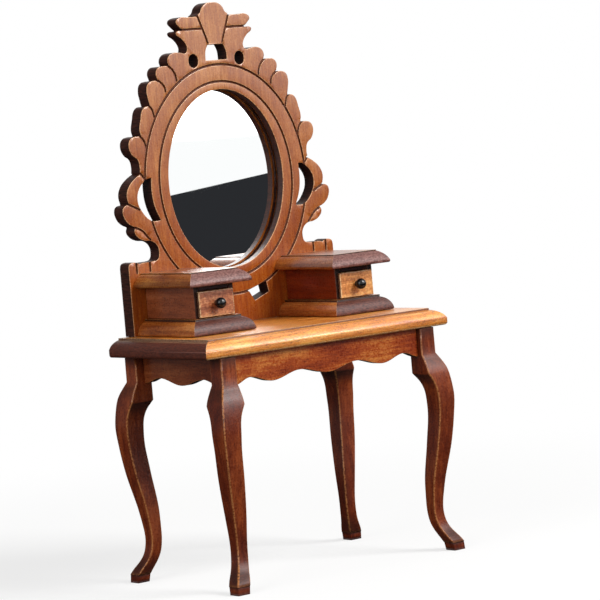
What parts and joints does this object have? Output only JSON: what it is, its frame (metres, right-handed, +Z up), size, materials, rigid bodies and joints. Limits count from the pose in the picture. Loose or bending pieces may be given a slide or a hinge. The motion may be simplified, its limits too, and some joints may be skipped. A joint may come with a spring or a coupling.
{
  "type": "miniature dressing table",
  "caption": "Dolls house dressing table with cabriole legs, scalloped aprons, a leaf-fretted back board holding an oval mirror, and small cabinets with sliding drawers.",
  "frame": {"origin": "on the floor, under the middle of the table", "axes": "+X to the sitter's right, +Y to the back board, +Z up; the drawers open towards -Y"},
  "size_m": [0.0818, 0.0492, 0.1535],
  "materials": {
    "stained_wood": "brown stain under satin varnish",
    "honey_wood": "honey stain under gloss varnish",
    "board_wood": "laser-cut board, light stain, satin varnish, dark cut edges",
    "bare_wood": "unvarnished",
    "mirror": "silvered glass",
    "backing_card": "brown card",
    "black_gloss": "black gloss"
  },
  "bodies": {
    "table": {"table_top": "honey_wood", "front_left_leg": "stained_wood", "front_right_leg": "stained_wood", "back_left_leg": "stained_wood", "back_right_leg": "stained_wood", "front_apron": "stained_wood", "back_apron": "stained_wood", "left_apron": "stained_wood", "right_apron": "stained_wood", "back_board": "board_wood", "mirror_glass": "mirror", "mirror_backing": "backing_card", "left_cabinet_base": "stained_wood", "left_cabinet_top": "stained_wood", "left_cabinet_outer_side": "stained_wood", "left_cabinet_inner_side": "stained_wood", "left_cabinet_back": "bare_wood", "left_cabinet_rail": "stained_wood", "right_cabinet_base": "stained_wood", "right_cabinet_top": "stained_wood", "right_cabinet_outer_side": "stained_wood", "right_cabinet_inner_side": "stained_wood", "right_cabinet_back": "bare_wood", "right_cabinet_rail": "stained_wood"},
    "left_drawer": {"left_drawer_front": "honey_wood", "left_drawer_left_side": "bare_wood", "left_drawer_right_side": "bare_wood", "left_drawer_back": "bare_wood", "left_drawer_bottom": "bare_wood", "left_drawer_knob": "black_gloss"},
    "right_drawer": {"right_drawer_front": "honey_wood", "right_drawer_left_side": "bare_wood", "right_drawer_right_side": "bare_wood", "right_drawer_back": "bare_wood", "right_drawer_bottom": "bare_wood", "right_drawer_knob": "black_gloss"}
  },
  "joints": [
    {"name": "left_drawer_slide", "type": "slide", "parent": "table", "child": "left_drawer", "axis": [0, -1, 0], "range_m": [0, 0.015]},
    {"name": "right_drawer_slide", "type": "slide", "parent": "table", "child": "right_drawer", "axis": [0, -1, 0], "range_m": [0, 0.015]}
  ]
}
